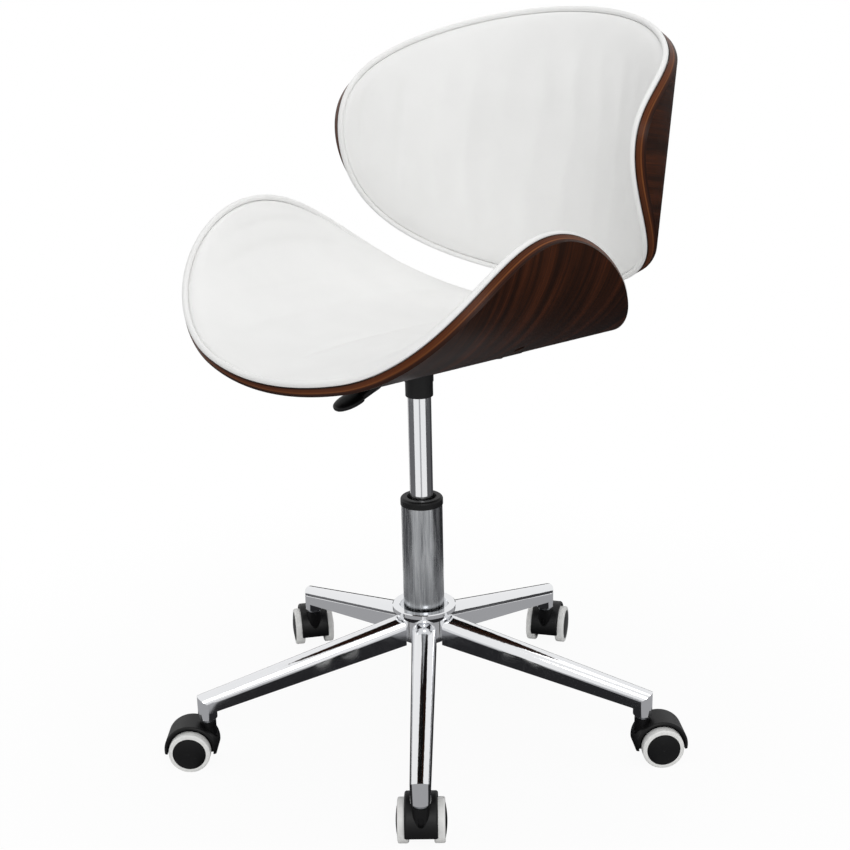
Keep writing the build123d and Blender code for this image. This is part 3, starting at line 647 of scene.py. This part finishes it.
def swell(piece, inside, cap):
    """Let the pressure shape the cover; gives the greatest movement before and after the cap."""
    pins = piece.vertex_groups.new(name="stapled")
    hold = np.clip(1 - inside / PAD_ROUND, 0, 1)
    for k in range(len(inside)):
        pins.add([k], float(hold[k]), "REPLACE")
    cloth = piece.modifiers.new("foam", "CLOTH")
    cloth.settings.vertex_group_mass = "stapled"
    cloth.settings.use_pressure = True
    cloth.settings.uniform_pressure_force = FOAM_PRESSURE
    cloth.settings.effector_weights.gravity = 0.0
    cloth.settings.quality = 6
    cloth.collision_settings.use_collision = False
    rest = np.array([point.co for point in piece.data.vertices])
    scene = bpy.context.scene
    for number in range(1, FRAMES + 1):
        scene.frame_set(number)
    shaped = piece.evaluated_get(bpy.context.evaluated_depsgraph_get()).data
    move = np.array([point.co for point in shaped.vertices]) - rest
    far = np.linalg.norm(move, axis=1, keepdims=True)
    move *= np.tanh(far / cap) * cap / np.maximum(far, 1e-9)
    piece.modifiers.remove(cloth)
    scene.frame_set(1)
    piece.data.vertices.foreach_set("co", (rest + move).ravel())
    piece.data.update()
    return far.max(), np.linalg.norm(move, axis=1).max()


for piece, inside in ((seat_cover, seat_inside), (back_cover, back_inside)):
    print(piece.name, "swelled by", [round(x / MM, 1) for x in swell(piece, inside, SWELL_CAP)], "mm")
    piece.modifiers.new("smooth", "SUBSURF").render_levels = 1

# %% [markdown]
# ## The welts
# A welt is a cord in a strip of the same cover, sewn into the seam at the rim. It is one round tube
# that follows the rim just above the wood and hides the staples. A curve with a bevel would twist at
# the wings, so the tube is laid in the sheet's own terms: its line is the rim of the shell, moved in
# by less than a millimetre.


# %% Welts
def welt(name, sheet):
    steps, sides, cord_r = 288, 18, 3.5 * MM
    line_in, line_up = 0.8 * MM, 4.2 * MM
    t, turn = np.meshgrid(np.arange(steps) * 2 * np.pi / steps, np.arange(sides) * 2 * np.pi / sides,
                          indexing="ij")
    s, v, _, _ = sheet.inset_rim(t, line_in + cord_r * np.cos(turn))
    points = sheet.bent(s, v, line_up + cord_r * np.sin(turn)).reshape(-1, 3)
    index = np.arange(steps * sides).reshape(steps, sides)
    along, around = np.roll(index, -1, 0), np.roll(index, -1, 1)
    both = np.roll(along, -1, 1)
    quads = np.stack([index, along, both, around], -1).reshape(-1, 4)
    mesh = bpy.data.meshes.new(name)
    mesh.from_pydata(points.tolist(), [], quads.tolist())
    mesh.transform(sheet.place)
    mesh.shade_smooth()
    return stand(name, mesh, cover_white)


seat_piping = welt("seat_piping", seat_sheet)
back_piping = welt("back_piping", back_sheet)
print("welts:", len(seat_piping.data.vertices), "points each")

# %% [markdown]
# ## Rigid pieces from rows of loops
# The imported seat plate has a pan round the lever, which the real chair lacks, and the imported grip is
# a plain blade. Both are made again. They could be pushed into shape from a cube by hand, but here
# every size stays in the script: each is a set of closed shells, and a shell is a row of loops of
# points, with faces between one loop and the next.

# %% Shells from rows of loops
SHARP = 0.7


def add_shell(form, rows, joined=False):
    """Closed shell through rows of points. A joined one runs round into itself and needs no ends."""
    loops = [[form.verts.new(point) for point in row] for row in rows]
    ends = loops[1:] + loops[:1] if joined else loops[1:]
    for near, far in zip(loops, ends):
        for k in range(len(near)):
            form.faces.new((near[k - 1], near[k], far[k], far[k - 1]))
    if not joined:
        form.faces.new(loops[0])
        form.faces.new(loops[-1][::-1])


def rigid_piece(name, form, finish, place):
    bmesh.ops.recalc_face_normals(form, faces=form.faces)
    for face in form.faces:
        face.smooth = True
    for edge in form.edges:
        edge.smooth = edge.calc_face_angle(0.0) < SHARP
    mesh = bpy.data.meshes.new(name)
    form.to_mesh(mesh)
    form.free()
    mesh.transform(place)
    print(name, "has", len(mesh.vertices), "points")
    return stand(name, mesh, finish)


print("edges are sharp above", round(math.degrees(SHARP)), "degrees")

# %% [markdown]
# ## The seat plate
# A steel plate is pressed to the curve of the seat and bolted under it. It has rounded corners, so its
# rows lie across the seat, each as long as the outline is there, and closer together in the corners.

# %% Pressed plate
plate_half, plate_reach, corner_r = 85, 95, 12
plate_middle, plate_top, plate_low = 47, 10.02, 13.0
half_rows = [0, 18, 37, 55, 73, 79, 82, 84, 85]
rows_at = np.array([-x for x in half_rows[:0:-1]] + half_rows)
into_corner = np.clip(np.abs(rows_at) - (plate_half - corner_r), 0, corner_r)
reach = plate_reach - corner_r + np.sqrt(corner_r ** 2 - into_corner ** 2)
seat_plate_form = bmesh.new()
corners = [seat_sheet.bent(rows_at * MM, (plate_middle + way * reach) * MM, 0 * rows_at - below * MM)
           for way, below in ((-1, plate_low), (1, plate_low), (1, plate_top), (-1, plate_top))]
plate_rows = [[seat_sheet.place @ Vector(point) for point in row] for row in np.stack(corners, 1)]
add_shell(seat_plate_form, plate_rows)
print("plate:", 2 * plate_half, "x", 2 * plate_reach, "mm")

# %% [markdown]
# The socket that takes the taper of the gas cylinder is welded to the plate. It is a turned ring with a
# collar. Above that it has a notch for the lever, and an ear on each side of the notch holds the
# lever's pivot. A profile is a list of radius and height in millimetres, carried round the axis.

# %% Socket and ears
lever_bearing, notch_half, pivot_out, pivot_z = -105, 30, 20, 473.8
whole_turn = np.arange(96) * 360 / 96
notched_turn = np.linspace(lever_bearing + notch_half, lever_bearing + 360 - notch_half, 81)
socket = [(14.05, 437.4), (14.4, 437), (16.1, 437), (16.5, 437.4), (16.5, 455), (17.3, 455), (17.3, 464),
          (13.35, 464)]
notched = [(13.35, 464), (17.3, 464), (17.3, 484.6), (13.35, 484.6)]
for profile, turns, joined in ((socket, whole_turn, True), (notched, notched_turn, False)):
    ways = [(math.cos(a), math.sin(a)) for a in np.radians(turns)]
    rows = [[(r * x * MM, r * y * MM, z * MM) for r, z in profile] for x, y in ways]
    add_shell(seat_plate_form, rows, joined)
lever_way = (Matrix.Rotation(math.radians(lever_bearing), 4, "Z")
             @ Matrix.Translation((pivot_out * MM, 0, pivot_z * MM)))
ear_half, ear_outline = 7, [(6.5, -8), (9.5, -8), (9.5, 11), (6.5, 11)]
for side in (-1, 1):
    ear = [[(x, side * y, z) for y, z in ear_outline] for x in (-ear_half, ear_half)]
    add_shell(seat_plate_form, [[lever_way @ (Vector(point) * MM) for point in row] for row in ear])
seat_carrier = rigid_piece("seat_carrier", seat_plate_form, black_powder, Matrix())

# %% [markdown]
# ## The lever's grip
# The grip is a moulding: a leaf-shaped blade for two fingers, a step, and a ferrule that tapers along
# the rod. Rounded sections along the rod give it: wide and flat in the blade and nearly round in the
# ferrule. Each row of the list is a section's place on the rod, its half width and half thickness in
# millimetres, and a subdivision rounds what lies between.

# %% Lever grip
ferrule = [(38, 3.8, 3.8), (38.6, 4.9, 4.8), (40, 5.4, 5.2), (49, 6.8, 5.4), (59, 8.6, 5.5), (66, 10.2, 5.6)]
step = [(67.5, 10.8, 5.6), (68.5, 13.0, 5.7), (69.5, 14.2, 5.7)]
blade = [(72, 15.4, 5.6), (77, 16.4, 5.4), (83, 16.5, 5.2), (88, 15.6, 4.9), (93, 13.6, 4.5), (97, 10.8, 4.0),
         (99.5, 8.0, 3.4), (101, 5.2, 2.6), (101.8, 2.2, 1.4)]
section_points, squareness, grip_droop = 40, 0.8, math.radians(18.0)


def squared(share):
    """A sine or cosine that turns a circle into a circle with flatter sides."""
    return math.copysign(abs(share) ** squareness, share)


turns = np.arange(section_points) * 2 * np.pi / section_points
ways = [(squared(math.cos(a)), squared(math.sin(a))) for a in turns]
grip_form = bmesh.new()
add_shell(grip_form, [[(x * MM, half_w * c * MM, half_t * d * MM) for c, d in ways]
                      for x, half_w, half_t in ferrule + step + blade])
along_rod = lever_way @ Matrix.Rotation(grip_droop, 4, "Y")
lever_grip = rigid_piece("lever_grip", grip_form, black_nylon, along_rod)
lever_grip.modifiers.new("smooth", "SUBSURF").render_levels = 1

# %% [markdown]
# ## New pieces in place of packed ones
# Each new piece stands for one imported piece, which is then no longer shown. It rides on the same
# body, so that it moves when the seat goes down or the lever lifts.

# %% The rigid pieces take their places
for piece, node, slot, body in ((seat_carrier, "seat_plate", "black_steel", "seat"),
                                (seat_ply, "seat_shell", "walnut", "seat"),
                                (back_ply, "back_shell", "walnut", "seat"),
                                (lever_grip, "lever_handle", "black_nylon", "lever")):
    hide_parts(node)
    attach(piece, body)
    print(piece.name, "stands for", node)

# %% Soft pieces ride on the seat
for piece, node, fill in ((seat_cover, "seat_pad", 0.8), (back_cover, "back_pad", 0.8),
                          (seat_piping, "seat_welt", 1.0), (back_piping, "back_welt", 1.0)):
    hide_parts(node)
    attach(piece, "seat")
    print(piece.name, "stands for", node)

# %% [markdown]
# ## Floor and world
# A white floor and a white surround, as in a product studio. Both are white to the camera and to
# reflections, and much dimmer as light, so that the covers keep their shading. More light could make
# them white too, but it would wash out the covers. Further out the floor turns into pure white, so
# that it has no edge against the surround, and near the chair it keeps a trace of the shadow.


# %% Floor
def seen_share(tree):
    """1 for rays from the camera, in reflections and through clear things, and 0 for falling light."""
    rays = add_node(tree, "LightPath")
    seen = add_node(tree, "Math", {0: rays.outputs["Is Camera Ray"], 1: rays.outputs["Is Glossy Ray"]},
                    operation="MAXIMUM")
    return add_node(tree, "Math", {0: seen, 1: rays.outputs["Is Transmission Ray"]}, operation="MAXIMUM")


floor_half, shadow_near, shadow_far = 30.0, 0.25, 0.9
floor_paper, tree = new_material("studio_paper")
spot = add_node(tree, "TexCoord")
away = add_node(tree, "VectorMath", {0: spot.outputs["Object"]}, operation="LENGTH").outputs["Value"]
white = add_node(tree, "MapRange", {0: away, 1: shadow_near, 2: shadow_far, 3: 0.94, 4: 1.0},
                 interpolation_type="SMOOTHSTEP")
share = add_node(tree, "Math", {0: seen_share(tree), 1: white}, operation="MULTIPLY")
paper = add_node(tree, "BsdfDiffuse", {"Color": linear("#f2f2f2")})
glow = add_node(tree, "Emission", {"Color": linear("#ffffff"), "Strength": 1.0})
mixed = add_node(tree, "MixShader", {0: share, 1: paper, 2: glow})
add_node(tree, "OutputMaterial", {0: mixed})
floor_mesh = bpy.data.meshes.new("floor")
floor_corners = [(x * floor_half, y * floor_half, 0) for x, y in ((-1, -1), (1, -1), (1, 1), (-1, 1))]
floor_mesh.from_pydata(floor_corners, [], [(0, 1, 2, 3)])
floor = stand("floor", floor_mesh, floor_paper)
floor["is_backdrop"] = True
print("floor:", len(tree.nodes), "nodes")

# %% World
world = bpy.data.worlds.new("studio")
bpy.context.scene.world = world
world.use_nodes = True
tree = world.node_tree
tree.nodes.clear()
strength = add_node(tree, "MapRange", {0: seen_share(tree), 3: 0.44, 4: 1.0})
sky = add_node(tree, "Background", {"Color": linear("#ffffff"), "Strength": strength})
add_node(tree, "OutputWorld", {0: sky})
print("world:", len(tree.nodes), "nodes")

# %% [markdown]
# ## Lamps
# Three large soft lamps shape the chair: a key lamp to the right of the camera, a weak one on the
# left and one above. Small lamps would draw hard shadows on the covers, which a studio avoids.


# %% Lamps
def soft_lamp(name, at, aim, size, power):
    lamp = bpy.data.lights.new(name, "AREA")
    lamp.shape = "DISK"
    lamp.size = size
    lamp.energy = power
    made = bpy.data.objects.new(name, lamp)
    made.location = at
    made.rotation_mode = "QUATERNION"
    made.rotation_quaternion = (Vector(aim) - Vector(at)).to_track_quat("-Z", "Y")
    bpy.context.scene.collection.objects.link(made)


over_seat = (0.0, 0.0, 0.6)
soft_lamp("key_lamp", (1.9, -1.7, 2.0), over_seat, 1.6, 29.0)
soft_lamp("fill_lamp", (-2.2, -1.4, 1.3), over_seat, 1.4, 4.0)
soft_lamp("top_lamp", (0.0, 0.2, 2.8), over_seat, 1.8, 14.0)
print("lamps:", len(bpy.data.lights))

# %% [markdown]
# ## Cards for the chrome
# Polished metal has no look of its own: in an all-white room it is a white shape. A studio lays cards
# round a chrome thing, so that its edges turn dark and its form shows. The chair is seen from a little
# above, so its metal mirrors the floor. A dark disc under the base darkens the sides of the front
# arms, and a pale ring round it is what the rear arms and the castor sockets show. Grey cards to the
# right and the left and a pale narrow one towards the camera draw the streaks on the lift. Two dark
# cards behind the chair, near and far, keep the undersides and the sides of the shells dark.
# All are seen by reflections alone: they cast no shadow, and the camera looks through them.

# %% Cards
card_steps = 32


def floor_card(name, near, far, start, end, shade):
    """Card on the floor round the lift's axis, from one bearing to another in degrees."""
    turns = np.radians(np.linspace(start, end, card_steps + 1))
    corners = [(r * math.cos(a), r * math.sin(a), 1 * MM) for r in (near, far) for a in turns]
    outside = card_steps + 1
    mesh = bpy.data.meshes.new(name)
    mesh.from_pydata(corners, [], [(k, k + 1, k + 1 + outside, k + outside) for k in range(card_steps)])
    card, tree = new_material(name)
    paint = add_node(tree, "Emission", {"Color": linear(shade), "Strength": 1.0})
    add_node(tree, "OutputMaterial", {0: paint})
    made = stand(name, mesh, card)
    made.visible_camera = made.visible_diffuse = made.visible_shadow = False
    made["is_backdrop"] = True


bearing = math.degrees(math.atan2(camera_at.y, camera_at.x))
floor_card("card_below", 0.02, 0.3, 0, 360, "#28282a")
floor_card("card_round", 0.3, 0.46, 0, 360, "#a8a8aa")
floor_card("card_right", 0.5, 1.6, bearing + 58, bearing + 115, "#5c5c5e")
floor_card("card_behind", 0.5, 1.6, bearing + 115, bearing + 205, "#414143")
floor_card("card_far", 1.6, 12.0, bearing + 95, bearing + 215, "#161618")
floor_card("card_left", 0.5, 1.6, bearing - 142, bearing - 60, "#6c6c6e")
floor_card("card_middle", 0.5, 1.6, bearing - 7, bearing + 7, "#b4b4b6")
print("the camera stands at a bearing of", round(bearing), "degrees")

# %% [markdown]
# ## Measure the size and close
# The dressed chair has to stay in the box of the imported part, apart from a few millimetres of
# fabric. The script prints how far it stands out of that box on each side.

# %% Sizes and finish
bpy.context.scene.view_settings.view_transform = "Standard"
low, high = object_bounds()
proud = [round(1000 * x, 1) for x in (*(cad_low - low), *(high - cad_high))]
print("proud of the part by, in mm:", proud)
